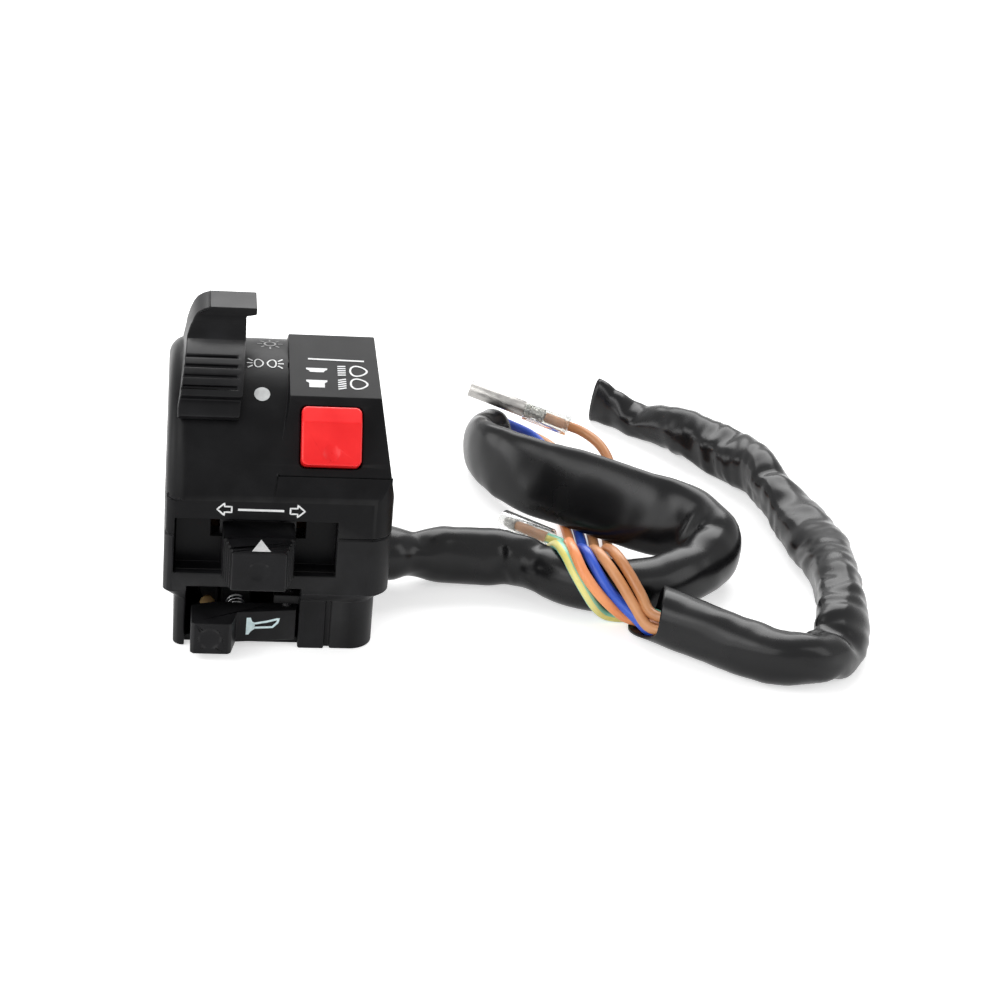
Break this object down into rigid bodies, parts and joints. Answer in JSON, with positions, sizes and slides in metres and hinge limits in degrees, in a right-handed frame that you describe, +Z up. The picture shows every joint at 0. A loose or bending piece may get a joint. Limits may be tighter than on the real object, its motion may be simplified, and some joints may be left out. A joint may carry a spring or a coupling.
{
  "type": "handlebar switch cluster",
  "caption": "Two-piece black casing clamped round a handlebar, with a rotary light lever, red dimmer button, sliding turn knob, horn paddle and sleeved wiring loom.",
  "frame": {"origin": "middle of the handlebar bore", "axes": "+X along the bar towards the middle of the machine, -Y towards the rider, +Z up, out of the top of the upper casing"},
  "size_m": [0.1567, 0.1379, 0.067],
  "materials": {
    "casing_black": "satin moulded",
    "casing_grey_black": "satin moulded, slightly greyed",
    "lever_black": "satin moulded",
    "button_red": "semi-gloss",
    "nylon": "black",
    "phenolic": "laminate",
    "contact_brass": "stamped",
    "steel": "zinc plated",
    "grommet_rubber": "moulded",
    "sleeve_pvc": "soft glossy PVC",
    "wire_tan": "PVC insulation",
    "wire_orange": "PVC insulation",
    "wire_green": "PVC insulation",
    "wire_blue": "PVC insulation",
    "wire_brown": "PVC insulation",
    "terminal_tin": "tinned",
    "terminal_clear": "clear PVC"
  },
  "bodies": {
    "casing": {"upper_casing": "casing_black", "lower_casing": "casing_grey_black", "casing_screws": "steel", "light_contact_plate": "phenolic", "light_contacts": "contact_brass", "dimmer_spring": "steel", "dimmer_frame": "phenolic", "dimmer_contacts": "contact_brass", "turn_tray": "casing_black", "turn_contact_plate": "phenolic", "turn_contacts": "contact_brass", "horn_pivot_pin": "steel", "horn_spring": "steel", "horn_fixed_contact": "contact_brass", "cable_grommet": "grommet_rubber", "cable_clip": "steel", "clip_screw": "steel", "inner_leads": "wire_blue", "sleeve_near": "sleeve_pvc", "sleeve_far": "sleeve_pvc", "wire_tan": "wire_tan", "wire_orange": "wire_orange", "wire_green": "wire_green", "wire_blue": "wire_blue", "wire_brown": "wire_brown", "bullet_terminals": "terminal_tin", "terminal_sleeves": "terminal_clear"},
    "light": {"light_lever": "lever_black", "light_carrier": "nylon", "light_wiper": "contact_brass", "light_detent_ball": "steel", "light_detent_spring": "steel"},
    "dimmer": {"dimmer_button": "button_red", "dimmer_plunger": "nylon", "dimmer_bridge": "contact_brass"},
    "turn": {"turn_knob": "lever_black", "turn_slider": "nylon", "turn_wiper": "contact_brass", "turn_detent_ball": "steel", "turn_detent_spring": "steel"},
    "horn": {"horn_paddle": "casing_grey_black", "horn_moving_contact": "contact_brass"}
  },
  "joints": [
    {"name": "light_turn", "type": "hinge", "parent": "casing", "child": "light", "pos_m": [-0.0152, 0, 0], "axis": [-1, 0, 0], "range_deg": [0, 36]},
    {"name": "dimmer_push", "type": "slide", "parent": "casing", "child": "dimmer", "axis": [0, 0.8258, -0.564], "range_m": [0, 0.0025], "stiffness_N_per_m": 400, "springref_m": -0.002, "deforming": ["dimmer_spring"]},
    {"name": "turn_slide", "type": "slide", "parent": "casing", "child": "turn", "axis": [1, 0, 0], "range_m": [-0.005, 0.005]},
    {"name": "horn_press", "type": "hinge", "parent": "casing", "child": "horn", "pos_m": [0.0026, -0.0215, -0.023], "axis": [0, 0, -1], "range_deg": [0, 9], "stiffness_Nm_per_rad": 0.2, "springref_deg": -5.73, "deforming": ["horn_spring"]}
  ]
}
